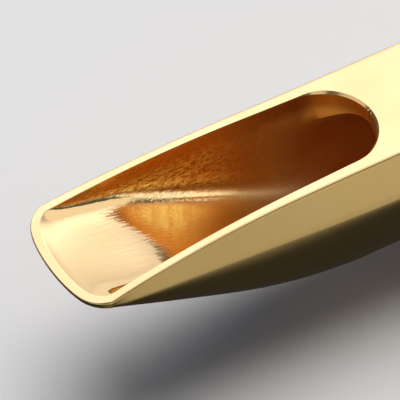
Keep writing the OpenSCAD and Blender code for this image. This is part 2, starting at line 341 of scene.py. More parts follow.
def baffle_depth(s):
    """The floor is nearly flat behind the tip rail, rolls over, and falls into the chamber."""
    front = BAFFLE_START + BAFFLE_FRONT_SLOPE * s
    at_roll = BAFFLE_START + BAFFLE_FRONT_SLOPE * BAFFLE_ROLL
    rear = np.maximum(0, at_roll + BAFFLE_SLOPE * (s - BAFFLE_ROLL))
    baffle = (front**ROLL_POWER + rear**ROLL_POWER) ** (1 / ROLL_POWER)
    chamber = TABLE_Z + CHAMBER_R
    blend = 8
    return (baffle**-blend + chamber**-blend) ** (-1 / blend)


def flush_rise(s, y):
    """How far the floor is raised behind the tip rail, so that it starts level with all of it."""
    edge = front_curve(y)
    return (baffle_depth(edge) - facing_drop(edge) - GAP) * (1 - smooth(0, FLUSH_FADE, s))


def edge_break(s, phi):
    """Width of the small chamfer on the window's edge, wider round its far end."""
    return WINDOW_BREAK * smooth(0, 1.5, s) + WINDOW_END_BREAK * smooth(0.02, 0.5, phi)


def inner_edge(s, phi):
    """The window's edge on the table at a station: (distance from the tip, half width)."""
    r = WINDOW_R + edge_break(s, phi)
    if phi > 0:
        return WINDOW_CENTRE + r * math.sin(phi), max(0, r * math.cos(phi))
    x = s + front_curve(WINDOW_TIP_HALF_W) * arc_share(s)
    return x, window_half_w(x) + edge_break(s, phi)


def outer_half(s, phi, closed):
    """Far half of the outer section, from the window's edge to the middle of the back."""
    e = corner_s(s)
    x_in, y_in = (s, 0.0) if closed else inner_edge(s, phi)
    w_o = rail_half_w(e)
    ys = np.linspace(y_in, w_o, RAIL_STEPS)
    xs = np.linspace(x_in, e, RAIL_STEPS)
    top = np.stack([ys, facing_drop(xs)], 1)
    side = np.array([[w_o, facing_drop(e)], [ridge_half_w(e), ridge_depth(e)]])
    ridge_round = mix(RIDGE_ROUND_TIP, RIDGE_ROUND_BODY, smooth(0, RIDGE_ROUND_RUN, s))
    run = rounded_run(top, side, lower_curve(s), RAIL_ROUND, ridge_round)
    x = np.full(len(run), float(e))
    n_top = len(TOP_SHARES)
    x[:n_top] = np.interp(run[:n_top, 0], ys, xs)
    x[UPPER_POINTS:] = s + tip_arc(run[UPPER_POINTS:, 0]) * arc_share(s)
    return np.column_stack([x, run])


def as_round(half):
    """A section pushed out to the round body, for the stretch behind the table."""
    y, z = half[:, 1], TABLE_Z - half[:, 2]
    k = BODY_R / np.hypot(y, z)
    return np.column_stack([half[:, 0], y * k, TABLE_Z - z * k])


def inside_wall(s, phi, closed):
    """Place and half width of the inside's upright wall under the window's edge at a station."""
    if closed:
        return s, 0.0
    if phi > 0:
        return WINDOW_CENTRE + WINDOW_R * math.sin(phi), max(0, WINDOW_R * math.cos(phi))
    x, y = inner_edge(s, phi)
    return x, y - edge_break(s, phi)


def inside_half(s, phi, closed):
    """Far half of the inside, from the window's edge down the wall and over the floor to the middle.

    The section is a superellipse that hangs from the edge and becomes the round chamber.
    """
    rounded = smooth(21, 37, s) ** 1.5
    widened = smooth(24, 38, s) ** 3
    x_wall, wall = inside_wall(s, phi, closed)
    edge = edge_break(s, phi)
    level = facing_drop(x_wall) + edge
    centre = mix(level, TABLE_Z, rounded)
    narrow = window_half_w(min(s, WINDOW_CENTRE)) if s > ARC_FADE else wall
    half_w = mix(narrow, CHAMBER_R, widened)
    n = mix(mix(2.0, 5.0, smooth(0, 6, s)), 2.0, rounded)
    start = -math.acos(min(1, (wall / half_w) ** (n / 2))) if rounded > 0 else 0.0
    a = np.linspace(start, math.pi / 2, LOWER_STEPS + 1)
    y = half_w * np.maximum(0, np.cos(a)) ** (2 / n)
    share = arc_share(s)
    x = np.full(len(a), float(x_wall)) if share == 0 else s + front_curve(y) * share
    swing = np.abs(np.sin(a)) ** (2 / n)
    top = facing_drop(x) + edge if rounded == 0 else centre
    floor = baffle_depth(x) - flush_rise(s, y)
    down = top + (floor - top) * swing * smooth(0, 0.45, s)
    depth = np.where(a < 0, centre - CHAMBER_R * rounded * swing, down)
    if s == 0:
        depth = facing_drop(x)
    bottom = depth[0]
    if closed:
        rows = [(x_wall, wall, bottom)] * WALL_ROWS
    else:
        x_top, y_top = inner_edge(s, phi)
        rows = [(x_top, y_top, facing_drop(x_top))]
        rows += [(x_wall, wall, mix(level, bottom, t)) for t in np.linspace(0, 1, WALL_ROWS)[:-1]]
    return np.concatenate([np.array(rows), np.column_stack([x, y, depth])])


def mirrored(half):
    """A whole section from its far half: the middle point is shared."""
    near = half[-2::-1] * np.array([1, -1, 1])
    return np.concatenate([half, near])


def head_stations():
    """(distance from the tip, angle round the window's far end, closed above)."""
    front = [0, 0.04, 0.12, 0.3, 0.6, 1.0, 1.5, 2.2, 3.0]
    straight = list(np.arange(4.0, WINDOW_CENTRE - 0.5, 0.7)) + [WINDOW_CENTRE]
    stations = [(s, 0.0, False) for s in front + straight]
    for phi in np.radians(np.linspace(0, 90, 25)[1:]):
        stations.append((WINDOW_CENTRE + WINDOW_R * math.sin(phi), phi, False))
    last = WINDOW_CENTRE + WINDOW_R + edge_break(WINDOW_CENTRE, math.pi / 2)
    rear = [last + 0.01, 39, 40.5, 42.5, 44, 46, 48, 50, 53, 57, 63, TABLE_END - 0.1, TABLE_END]
    rear += [TABLE_END + 0.3, SHOULDER_END - 0.2, SHOULDER_END, HEAD_LEN]
    return stations + [(s, 0.0, True) for s in rear]


def outer_section(s, phi, closed):
    half = outer_half(min(s, TABLE_END), phi, closed)
    half[:, 0] += max(0, s - TABLE_END)
    if s > TABLE_END:
        half = mix(half, as_round(half), smooth(TABLE_END, SHOULDER_END, s))
    return mirrored(half)


def tip_cap(front_outer, front_inner):
    """The tip rail's top and the thin front face, between the inside's front row and the back's edge."""
    rows = UPPER_POINTS + 1
    cols = FLOOR_STEPS + 1
    cap = np.zeros((rows, cols, 3))
    lower = front_outer[UPPER_POINTS:UPPER_POINTS + cols]
    rest = (np.arange(1, BEND_STEPS) / BEND_STEPS)[:, None]
    for c in range(cols):
        y_t = np.clip(lower[c, 1], -TIP_HALF_W, TIP_HALF_W)
        x_t = tip_arc(y_t)
        edge = np.array([x_t, y_t, facing_drop(x_t)])
        top = np.linspace(front_inner[c], edge, RAIL_STEPS)
        top[:, 2] = facing_drop(top[:, 0])
        side = np.array([edge, lower[c]])
        height = np.linalg.norm(side[1] - side[0])
        r = min(TIP_EDGE_ROUND, 0.45 * height)
        a = along(top, TOP_SHARES * (lengths(top)[-1] - r))
        b = along(side, r + SIDE_SHARES * (height - r) * 0.8)
        rounding = bend(a[-1], edge, b[0], BEND_STEPS)
        cap[:, c] = np.concatenate([a, rounding, b, mix(b[-1], lower[c], rest), lower[c:c + 1]])
    cap[:, 0] = front_outer[:rows]
    cap[:, -1] = front_outer[::-1][:rows]
    return cap


def ring_strip(outer_loop, inner_loop):
    """Faces between two loops that run the same way, matched by how far round each point is."""
    faces = []
    i = j = 0
    n, m = len(outer_loop) - 1, len(inner_loop) - 1
    while i < n or j < m:
        if j >= m or (i < n and (i + 1) / n <= (j + 1) / m):
            faces.append((outer_loop[i], outer_loop[i + 1], inner_loop[j]))
            i += 1
        else:
            faces.append((outer_loop[i], inner_loop[j + 1], inner_loop[j]))
            j += 1
    return faces


def make_head(metal, worked_metal_and_painted_light):
    """The head's outer skin, its inside, the tip between them, and the flat ring at its rear end."""
    stations = head_stations()
    outer = np.array([outer_section(*st) for st in stations])
    inside = np.array([mirrored(inside_half(*st)) for st in stations])
    spans, n_out, n_in = len(stations) - 1, outer.shape[1], inside.shape[1]
    lead = (n_in - FLOOR_STEPS - 1) // 2
    cap = tip_cap(outer[0], inside[0][lead:lead + FLOOR_STEPS + 1])
    verts, faces = [], []
    for grid, flip in ((outer, False), (inside, True), (cap, True)):
        faces += grid_faces(*grid.shape[:2], len(verts), flip=flip)
        verts += list(row_points(grid).reshape(-1, 3))
    first_inside, strips = spans * (n_out - 1), n_in - 1
    worked = [first_inside + k for k in range(spans * strips) if 0 < k % strips < strips - 1]
    rear_out = spans * n_out
    rear_in = (spans + 1) * n_out + spans * n_in + lead
    faces += ring_strip(range(rear_out, rear_out + n_out), range(rear_in, rear_in + FLOOR_STEPS + 1))
    obj = new_object("mouthpiece_gold_body", verts, faces, metal, "mouthpiece",
                     "mouthpiece_head", sharp=32, weld=2e-6, second=worked)
    obj.data.materials.append(worked_metal_and_painted_light)


# ---- pieces of the shank and ligature


def box_mm(node):
    """A CAD node's lowest and highest corners, in millimetres."""
    lo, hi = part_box(node)
    return np.array(lo) / MM, np.array(hi) / MM


def round_box(node):
    """An upright round node's place along X, its radius, and its lowest and highest Z."""
    lo, hi = box_mm(node)
    return (lo[0] + hi[0]) / 2, (hi[0] - lo[0]) / 2, lo[2], hi[2]


def crowded(steps):
    """Places from -1 to 1 that crowd towards both ends."""
    return np.concatenate([[-1], -np.cos(np.linspace(0.12, math.pi - 0.12, steps)), [1]])


def soft(points, reach, steps=4):
    """A polyline whose corners are rounded; reach is how far each rounding runs along its sides."""
    points = np.asarray(points, float)
    run = [points[:1]]
    for before, corner, after in zip(points, points[1:], points[2:]):
        into, out = before - corner, after - corner
        len_in, len_out = np.linalg.norm(into), np.linalg.norm(out)
        r = min(reach, 0.45 * len_in, 0.45 * len_out)
        start, end = corner + into / len_in * r, corner + out / len_out * r
        run += [start[None], bend(start, corner, end, steps), end[None]]
    return np.concatenate(run + [points[-1:]])


def soft_square(reach):
    """Outline of a unit square with rounded corners."""
    return soft([(0.5, 0), (1, 0), (1, 1), (0, 1), (0, 0), (0.5, 0)], reach)[:-1]


def around_z(radius, angle, height):
    """A grid of points at a radius, an angle round Z and a height."""
    xyz = np.broadcast_arrays(radius * np.cos(angle), radius * np.sin(angle), height)
    return np.stack(xyz, -1)


def lathe(profile, steps):
    """A profile of (radius, height) turned round Z: one row of points for each profile point."""
    profile = np.asarray(profile, float)
    turn = np.linspace(0, 2 * math.pi, steps, endpoint=False)
    return around_z(profile[:, :1], turn, profile[:, 1:])


def solid(node, kind, grid, material, body, sharp=35.0):
    """An object from a grid of points in mm whose rows close on themselves."""
    faces = grid_faces(*grid.shape[:2], wrap=True)
    verts = (grid * MM).reshape(-1, 3)
    new_object(f"{node}_{kind}", verts, faces, material, body, node, sharp=sharp, weld=2e-7)


def make_shank(metal):
    """The turned shank, with a bead at each end, engraved lines between them, and the neck bore."""
    lo, hi = box_mm("shank")
    x0, r_end = lo[0], hi[2]
    waist_r, groove, groove_half_w = BODY_R - 0.15, 0.12, 0.16
    engraved = []
    for x in (x0 + 6.2, x0 + 6.9, x0 + 20.4, x0 + 21.1):
        engraved += [(waist_r, x - groove_half_w), (waist_r - groove, x), (waist_r, x + groove_half_w)]
    outline = [
        (CHAMBER_R, x0), (BODY_R, x0), (BODY_R, x0 + 1.5), (BODY_R + 0.7, x0 + 2.2),
        (BODY_R + 0.7, x0 + 3.6), (BODY_R, x0 + 4.2), (waist_r, x0 + 5),
        *engraved,
        (waist_r, x0 + 22), (BODY_R + 0.35, x0 + 22.7), (BODY_R + 0.35, x0 + 23.6),
        (BODY_R - 0.05, x0 + 24.2), (BODY_R - 0.05, x0 + 24.6), (r_end - 0.1, x0 + 25.4),
        (r_end, x0 + 27.2), (r_end - 0.1, x0 + 29.2), (BODY_R + 0.1, -0.2), (BODY_R - 0.1, 0),
        (NECK_BORE_R + 0.35, 0), (NECK_BORE_R, -0.35), (NECK_BORE_R, -NECK_BORE_LEN),
        (CHAMBER_R, -NECK_BORE_LEN), (CHAMBER_R, x0),
    ]
    grid = lathe(soft(outline, 0.55), 144)[..., [2, 0, 1]]
    solid("shank", "turned", grid, metal, "mouthpiece")


def make_bite_plate(material):
    """A slightly proud patch of the back's skin with rounded corners and edges."""
    lo, hi = box_mm("bite_plate")
    mid, half = (lo[0] + hi[0]) / 2 - TIP_X, (hi[0] - lo[0]) / 2
    us = crowded(24)
    rows = []
    for t in crowded(40):
        x = mid + t * half
        w = hi[1] * mix(0.72, 1, math.sqrt(max(0, 1 - abs(t) ** 16)))
        y = us * w
        skin_depth = np.array([back_depth(x, v) for v in y])
        edge = np.minimum(1, np.minimum((1 - np.abs(us)) * w, (1 - abs(t)) * half) / BITE_EDGE)
        proud = BITE_PROUD * np.sqrt(1 - (1 - edge) ** 2)
        xs = np.full(len(y), x)
        top = np.column_stack([xs, y, skin_depth + proud])
        under = np.column_stack([xs, y[::-1], skin_depth[::-1] - BITE_T])
        rows.append(np.concatenate([top, under]))
    grid = row_points(np.array(rows))
    n = grid.shape[1]
    faces = grid_faces(len(rows), n, wrap=True)
    for start in (0, (len(rows) - 1) * n):
        faces += [(start + k, start + k + 1, start + n - 2 - k, start + n - 1 - k)
                  for k in range(n // 2 - 1)]
    new_object("bite_plate_inlay", grid.reshape(-1, 3), faces, material, "mouthpiece",
               "bite_plate", sharp=50)


def arc(centre, r, a):
    """Points on a circle, at the angles a."""
    return np.stack([centre[0] + r * np.cos(a), centre[1] + r * np.sin(a)], 1)


def rounded_rect(centre, size, r, grow, steps=8):
    """Outline of a rectangle with round corners, grown outwards by grow."""
    points = []
    for k, (sx, sy) in enumerate(((1, 1), (-1, 1), (-1, -1), (1, -1))):
        a = np.radians(90 * k + np.linspace(0, 90, steps + 1))
        cx, cy = centre[0] + sx * (size[0] / 2 - r), centre[1] + sy * (size[1] / 2 - r)
        points.append(arc((cx, cy), r + grow, a))
    return np.concatenate(points)


def circle(centre, r, grow, steps=48):
    """Outline of a disc, grown outwards by grow."""
    return arc(centre, r + grow, np.linspace(0, 2 * math.pi, steps, endpoint=False))


def horseshoe(centre, r, slot_half_w, grow):
    """Outline of a disc with a slot from its middle out towards +X, grown outwards by grow."""
    outer_r, inner_r = r + grow, slot_half_w - grow
    a = math.asin(inner_r / outer_r)
    outer = np.linspace(a, 2 * math.pi - a, 48)
    inner = np.linspace(-math.pi / 2, -3 * math.pi / 2, 24)
    return np.concatenate([arc(centre, outer_r, outer), arc(centre, inner_r, inner)])


def plate_mesh(outer, holes, low, high, edge):
    """Points and faces of a plate with rounded edges; outer and holes give outlines for a growth."""
    turns = np.radians([0, 30, 60, 90])
    insets = np.concatenate([[edge * 1.25], edge * (1 - np.sin(turns))])
    rises = np.concatenate([[0], edge * (1 - np.cos(turns))])
    levels = [(i, low + r) for i, r in zip(insets, rises)]
    levels += [(i, high - r) for i, r in zip(insets[::-1], rises[::-1])]
    verts, faces, low_loops, high_loops = [], [], [], []
    for k, outline in enumerate([outer, *holes]):
        rows = [np.column_stack([outline(inset if k else -inset), np.full(len(outline(0)), z)])
                for inset, z in levels]
        first = len(verts)
        cols = len(rows[0])
        faces += grid_faces(len(rows), cols, first, wrap=True)
        verts += list(np.concatenate(rows))
        low_loops.append(range(first, first + cols))
        high_loops.append(range(first + (len(rows) - 1) * cols, first + len(rows) * cols))
    for loops in (low_loops, high_loops):
        order = [v for loop in loops for v in loop]
        shapes = [[Vector((*verts[v][:2], 0)) for v in loop] for loop in loops]
        faces += [tuple(order[v] for v in tri) for tri in tessellate_polygon(shapes)]
    return np.array(verts), faces


# Which way a plate lies: its outline in X and Y, or stood up on a side with its outline in X and Z
FLAT = [0, 1, 2]
ON_SIDE = [0, 2, 1]


def plate(node, kind, outer, holes, low, high, edge, material, body, axes=FLAT):
    """An object from plate_mesh, with its coordinates taken in the order of axes."""
    verts, faces = plate_mesh(outer, holes, low, high, edge)
    new_object(f"{node}_{kind}", verts[:, axes] * MM, faces, material, body, node)


def box_plate(node, kind, holes, corner, edge, material, body, axes=FLAT):
    """A plate that fills a node's box, with round corners."""
    lo, hi = (v[axes] for v in box_mm(node))
    plate(node, kind, lambda g: rounded_rect((lo + hi) / 2, hi - lo, corner, g), holes,
          lo[2], hi[2], edge, material, body, axes)


def corner_places(node, r):
    """Where four round things of radius r stand at the corners of a node's box."""
    lo, hi = box_mm(node)
    return [(x, y) for x in (lo[0] + r, hi[0] - r) for y in (lo[1] + r, hi[1] - r)]


def make_bars(metal):
    """The bridge bar with its two bush holes, and the spine bar with its slot and screw holes."""
    bush_x = [round_box(f"thumb_knob_{end}")[0] for end in ("front", "rear")]
    holes = [lambda g, x=x: circle((x, 0), BUSH_R + GAP, g) for x in bush_x]
    box_plate("bridge_bar", "rounded", holes, BAR_CORNER, 0.35, metal, "ligature")
    lo, hi = box_mm("spine_bar")
    holes = [lambda g, x=x, y=y: circle((x, y), FIXING_R + 0.03, g)
             for x, y in corner_places("spine_screws", FIXING_R)]
    holes.append(lambda g: rounded_rect((lo + hi) / 2, SPINE_SLOT, SPINE_SLOT[1] / 2 - 0.1, g))
    box_plate("spine_bar", "rounded", holes, BAR_CORNER, 0.2, metal, "ligature")


def make_side_bar(side, metal):
    """A bar between the rings at one side, with a slot along it."""
    lo, hi = (v[ON_SIDE] for v in box_mm(f"side_bar_{side}"))
    slot = (hi[0] - lo[0] - SIDE_SLOT_INSET, SIDE_SLOT_W)
    box_plate(f"side_bar_{side}", "rounded",
              [lambda g: rounded_rect((lo + hi) / 2, slot, SIDE_SLOT_W / 2 - 0.01, g)],
              SIDE_BAR_CORNER, 0.25, metal, "ligature", ON_SIDE)


def ring_outline(r):
    """The oval outline: (y, z) of points on two half circles joined by straight sides."""
    half_turn = np.linspace(0, math.pi, RING_STEPS)
    a = np.concatenate([half_turn - math.pi, half_turn])
    centre = np.repeat([RING_LOW_Z, RING_HIGH_Z], RING_STEPS)
    return np.stack([r * np.cos(a), r * np.sin(a) + centre], 1)


def make_ring(end, metal):
    """An oval band with rounded edges, flat where the bars sit and hollowed round the screw's bush."""
    lo, hi = box_mm(f"{end}_ring")
    outer_r, inner_r = hi[1], hi[1] - RING_T
    section = soft_square(0.2)
    bush_x = round_box(f"thumb_knob_{end}")[0]
    bush_r = BUSH_R + GAP
    rows = []
    for inner, outer in zip(ring_outline(inner_r), ring_outline(outer_r)):
        reach = math.sqrt(max(0, bush_r**2 - inner[0] ** 2)) if inner[1] > RING_HIGH_Z else 0
        x_lo, x_hi = lo[0], hi[0]
        if reach and end == "front":
            x_hi = min(x_hi, bush_x - reach)
        if reach and end == "rear":
            x_lo = max(x_lo, bush_x + reach)
        yz = inner + section[:, 1:] * (outer - inner)
        x = x_lo + section[:, :1] * (x_hi - x_lo)
        rows.append(np.column_stack([x, yz[:, 0], np.clip(yz[:, 1], lo[2], hi[2])]))
    solid(f"{end}_ring", "band", np.array(rows + rows[:1]), metal, "ligature")


def make_turned(node, x, outline, reach, material, body):
    """A turned piece on the screw's axis at x, from a closed outline of (radius, height)."""
    grid = lathe(soft(outline, reach), TURN_STEPS) + np.array([x, 0, 0])
    solid(node, "turned", grid, material, body)


def make_bush(end, metal):
    """A bush pressed into the bridge bar, with a groove in its upper face."""
    x, r, low, high = round_box(f"screw_bush_{end}")
    bore = THREAD_R + 0.05
    outline = [
        (bore, low + 1), (bore, low + 0.25), (bore + 0.25, low), (r - 0.3, low), (r, low + 0.3),
        (r, high - 0.8), (r, high - 0.3), (r - 0.3, high), (r - 0.55, high), (r - 0.7, high - 0.12),
        (r - 0.85, high), (bore + 0.3, high), (bore, high - 0.3), (bore, low + 1),
    ]
    make_turned(f"screw_bush_{end}", x, outline, 0.12, metal, "ligature")


def make_cup(end, metal):
    """The cup that holds a screw's ball, with a step in its mouth for the clip."""
    x, r, low, high = round_box(f"swivel_cup_{end}")
    bore, step, ledge = BALL_R + 0.06, CLIP_R + GAP, high - CLIP_T - GAP
    outline = [
        (0, low), (r, low), (r, low + 0.5), (r - 0.18, low + 0.75), (r - 0.18, high - 0.9),
        (r, high - 0.65), (r, high), (step, high), (step, ledge), (bore, ledge), (bore, low + 0.3),
        (0, low + 0.3),
    ]
    make_turned(f"swivel_cup_{end}", x, outline, 0.14, metal, "plate")


def make_clip(end, metal):
    """The horseshoe clip that keeps a ball in its cup."""
    lo, hi = box_mm(f"swivel_clip_{end}")
    x = round_box(f"swivel_cup_{end}")[0]
    plate(f"swivel_clip_{end}", "spring", lambda g: horseshoe((x, 0), CLIP_R, NECK_R + 0.08, g), [],
          lo[2], hi[2], 0.1, metal, "plate")


def make_stem(end, metal):
    """Ball, neck and a stem with a right-hand thread."""
    x, _, foot, top = round_box(f"screw_stem_{end}")
    root_r = THREAD_R - THREAD_DEPTH
    ball_z = foot + BALL_R
    a = np.linspace(0.02, math.pi - math.asin(NECK_R / BALL_R), 20)
    ball = np.stack([BALL_R * np.sin(a), ball_z - BALL_R * np.cos(a)], 1)
    thread_z = ball_z + NECK_TOP
    neck = [(NECK_R, thread_z - 0.35), (root_r, thread_z)]
    plain = lathe(np.concatenate([[(0, foot)], ball, neck]), THREAD_STEPS)
    heights = np.arange(thread_z, top - GAP, PITCH / 10)[:, None]
    turn = np.linspace(0, 1, THREAD_STEPS, endpoint=False)[None]
    phase = (heights / PITCH - turn) % 1
    crest = np.clip(1.35 - 2.7 * np.abs(phase - 0.5), 0, 1)
    run_in = np.clip((heights - thread_z) / (0.7 * PITCH), 0, 1)
    radius = root_r + THREAD_DEPTH * crest * run_in
    thread = around_z(radius, 2 * math.pi * turn, heights)
    end_face = lathe([(root_r, top), (0, top)], THREAD_STEPS)
    grid = np.concatenate([plain, thread, end_face]) + np.array([x, 0, 0])
    solid(f"screw_stem_{end}", "threaded", grid, metal, f"screw_{end}", sharp=42)


def make_knob(end, metal):
    """A thumb knob with a fluted grip between two plain edges and a turned ring on its crown."""
    x, r, z, top = round_box(f"thumb_knob_{end}")
    grip_r = r - GRIP_INSET
    socket, socket_top = THREAD_R + GAP, z + 1.52
    grip_low, grip_high = z + 1.7, top - 1.2
    below = soft([(0, socket_top), (socket, socket_top), (socket, z), (2.6, z), (2.7, z + 0.9),
                  (r - 0.5, z + 1.2), (grip_r, grip_low)], 0.25)
    above = soft([(grip_r, grip_high), (r - 0.5, top - 0.7), (r - 1.1, top - 0.42),
                  (r - 1.35, top - 0.52), (r - 1.6, top - 0.28), (0, top)], 0.22)
    band = np.linspace(0, 1, 15)
    edge = np.clip(np.minimum(band, 1 - band) / 0.12, 0, 1)[:, None] ** 0.7
    columns = 6 * KNOB_FLUTES
    turn = np.linspace(0, 2 * math.pi, columns, endpoint=False)
    flute = np.abs(np.sin(turn * KNOB_FLUTES / 2))[None] ** 0.7
    radius = grip_r + edge * (GRIP_INSET - FLUTE_DEPTH * (1 - flute))
    grip = around_z(radius, turn, mix(grip_low, grip_high, band)[:, None])
    grid = np.concatenate([lathe(below, columns), grip, lathe(above, columns)]) + np.array([x, 0, 0])
    solid(f"thumb_knob_{end}", "fluted", grid, metal, f"screw_{end}", sharp=38)


def slotted_head(r, height, slot_w, slot_depth, turn):
    """A low domed screw head with a slot: a grid of points whose slot is pressed into the dome."""
    across = np.linspace(-1, 1, 41)
    u, v = np.meshgrid(across, across, indexing="ij")
    disc_x = u * np.sqrt(1 - v**2 / 2) * r
    disc_y = v * np.sqrt(1 - u**2 / 2) * r
    away = np.hypot(disc_x, disc_y) / r
    rim = np.clip((away - 0.86) / 0.14, 0, 1)
    dome = height * (1 - 0.22 * away**2 - 0.3 * rim**2)
    cut = np.clip((slot_w / 2 + 0.05 - np.abs(disc_y)) / 0.05, 0, 1)
    top = np.minimum(dome, mix(dome, height - slot_depth, cut))
    c, s = math.cos(turn), math.sin(turn)
    return np.stack([disc_x * c - disc_y * s, disc_x * s + disc_y * c, top], -1)


def make_screws(node, r, low, high, slot_depth, up, metal):
    """Four small slotted screws, one at each corner of a bar; up is -1 where the heads face down."""
    verts, faces = [], []
    for k, (x, y) in enumerate(corner_places(node, r)):
        top = slotted_head(r, high - low, 0.3 * r + 0.1, slot_depth, 0.4 + 1.3 * k)
        n = top.shape[0]
        rim = [(0, j) for j in range(n)] + [(i, n - 1) for i in range(1, n)]
        rim += [(n - 1, j) for j in range(n - 2, -1, -1)] + [(i, 0) for i in range(n - 2, 0, -1)]
        foot = np.array([top[i, j] for i, j in rim]) * np.array([1, 1, 0])
        first = len(verts)
        points = np.concatenate([top.reshape(-1, 3), foot])
        points[:, 2] = low + points[:, 2] if up > 0 else high - points[:, 2]
        verts += list((points + np.array([x, y, 0])) * MM)
        faces += grid_faces(n, n, first)
        ring = [first + i * n + j for i, j in rim]
        foot_ring = [first + n * n + i for i in range(len(rim))]
        for i in range(len(rim)):
            after = (i + 1) % len(rim)
            faces.append((ring[i], ring[after], foot_ring[after], foot_ring[i]))
        faces.append(tuple(foot_ring))
    new_object(f"{node}_slotted", verts, faces, metal, "ligature", node, sharp=40)


def make_rest_pad(end, nylon):
    """A curved nylon pad between a ring and the back of the body."""
    lo, hi = box_mm(f"rest_pad_{end}")
    section = soft_square(0.14)
    ys = hi[1] * np.concatenate([[-1, -0.985], np.linspace(-0.95, 0.95, 25), [0.985, 1]])
    under_r = box_mm(f"{end}_ring")[1][1] - RING_T - GAP
    rows = []
    for y in ys:
        top = -math.sqrt((BODY_R + 0.05) ** 2 - y**2)
        bottom = RING_LOW_Z - math.sqrt(under_r**2 - y**2)
        tuck = 0.12 if abs(y) == hi[1] else 0.0
        x = lo[0] + tuck + section[:, 0] * (hi[0] - lo[0] - 2 * tuck)
        z = bottom + tuck + section[:, 1] * (top - bottom - 2 * tuck)
        rows.append(np.column_stack([x, np.full(len(x), y), z]))
    grid = np.array(rows) * MM
    n = grid.shape[1]
    faces = grid_faces(len(rows), n, wrap=True)
    faces += [tuple(range(n)), tuple(range((len(rows) - 1) * n, len(rows) * n))]
    new_object(f"rest_pad_{end}_nylon", grid.reshape(-1, 3), faces, nylon, "ligature",
               f"rest_pad_{end}")


def make_reed_pad(side, nylon):
    """A round-ended nylon strip under one edge of the pressure plate."""
    lo, hi = box_mm(f"reed_pad_{side}")
    box_plate(f"reed_pad_{side}", "nylon", [], (hi[1] - lo[1]) / 2 - 0.05, 0.15, nylon, "plate")


# ---- materials


def node_material(name):
    mat = bpy.data.materials.new(name)
    mat.use_nodes = True
    tree = mat.node_tree
    tree.nodes.clear()
    out = tree.nodes.new("ShaderNodeOutputMaterial")
    shader = tree.nodes.new("ShaderNodeBsdfPrincipled")
    tree.links.new(shader.outputs["BSDF"], out.inputs["Surface"])
    return mat, tree, shader


def plug(tree, value, socket):
    """Feeds a socket from another socket, or sets it to a plain number or colour."""
    if isinstance(value, bpy.types.NodeSocket):
        tree.links.new(value, socket)
    elif isinstance(value, tuple):
        socket.default_value = (*value, 1)
    else:
        socket.default_value = value


def coordinate(tree, kind, axis):
    """One coordinate of the place being shaded, or of its normal."""
    coord = tree.nodes.new("ShaderNodeTexCoord")
    parts = tree.nodes.new("ShaderNodeSeparateXYZ")
    tree.links.new(coord.outputs[kind], parts.inputs["Vector"])
    return parts.outputs[axis]


def finish(mat, tree, shader, metallic, colour, roughness, normal):
    """Sets a shader's inputs and gives back its material."""
    plug(tree, metallic, shader.inputs["Metallic"])
    plug(tree, colour, shader.inputs["Base Color"])
    plug(tree, roughness, shader.inputs["Roughness"])
    plug(tree, normal, shader.inputs["Normal"])
    return mat


def object_noise(tree, per_mm, detail, rough=0.5):
    """Noise over the object's own coordinates, per_mm features in each direction."""
    coord = tree.nodes.new("ShaderNodeTexCoord")
    scale = tree.nodes.new("ShaderNodeMapping")
    scale.inputs["Scale"].default_value = [k / MM for k in per_mm]
    noise = tree.nodes.new("ShaderNodeTexNoise")
    noise.inputs["Scale"].default_value = 1.0
    noise.inputs["Detail"].default_value = detail
    noise.inputs["Roughness"].default_value = rough
    tree.links.new(coord.outputs["Object"], scale.inputs["Vector"])
    tree.links.new(scale.outputs["Vector"], noise.inputs["Vector"])
    return noise.outputs["Fac"]


def ramp(tree, source, low, high, lo_value, hi_value):
    """source from low..high spread over lo_value..hi_value; the values may be colours."""
    node = tree.nodes.new("ShaderNodeValToRGB")
    elements = node.color_ramp.elements
    for element, position, value in zip(elements, (low, high), (lo_value, hi_value)):
        element.position = position
        element.color = (*value, 1) if isinstance(value, tuple) else (value, value, value, 1)
    tree.links.new(source, node.inputs["Fac"])
    return node.outputs["Color"]


def bump(tree, height, distance_mm, previous=None, strength=1.0):
    """Relief from a height, over any previous relief; strength says how much of it shows."""
    node = tree.nodes.new("ShaderNodeBump")
    node.inputs["Distance"].default_value = distance_mm * MM
    plug(tree, strength, node.inputs["Strength"])
    tree.links.new(height, node.inputs["Height"])
    if previous is not None:
        tree.links.new(previous, node.inputs["Normal"])
    return node.outputs["Normal"]


GOLD = (1.0, 0.70, 0.27)
GOLD_DEEP = (0.97, 0.66, 0.23)
LIGATURE_GOLD = (1.0, 0.72, 0.30)
FIXING_GOLD = (0.98, 0.70, 0.32)
FIXING_GOLD_DEEP = (0.9, 0.62, 0.26)
# painted shade: a dark gold for the window's walls, where they stand in shade
WALL_GOLD_PAINTED_SHADE = (0.64, 0.265, 0.042)
CHAMBER_GOLD = (1.0, 0.64, 0.19)
# painted glints: a bright gold laid in small flecks low on the window's walls
FLECK_GOLD_PAINTED_GLINT = (1.0, 0.92, 0.40)
RUBBER_BLACK = (0.012, 0.012, 0.013)
RUBBER_WORN = (0.03, 0.028, 0.027)
CLOUD_PER_MM = (0.12, 0.12, 0.12)

# Where marks inside the window begin and where they are full, in mm behind the tip: the chamber's gold
# in place of the walls' painted shade, the painted glints, the dullness and the filing
CHAMBER_BEHIND = (24, 34)
GLINTS_AND_FLECKS_BEHIND = (29, 17)
DULL_BEHIND = (18, 30)
FILED_BEHIND = (4, 9.5)
# The same in mm below the table
CHAMBER_BELOW = (1.2, 3.2)
PAINTED_GLINTS_BELOW = (1.0, 3.9)
# How far up a wall's and a floor's surface faces
WALL_UP, FLOOR_UP = 0.35, 0.85


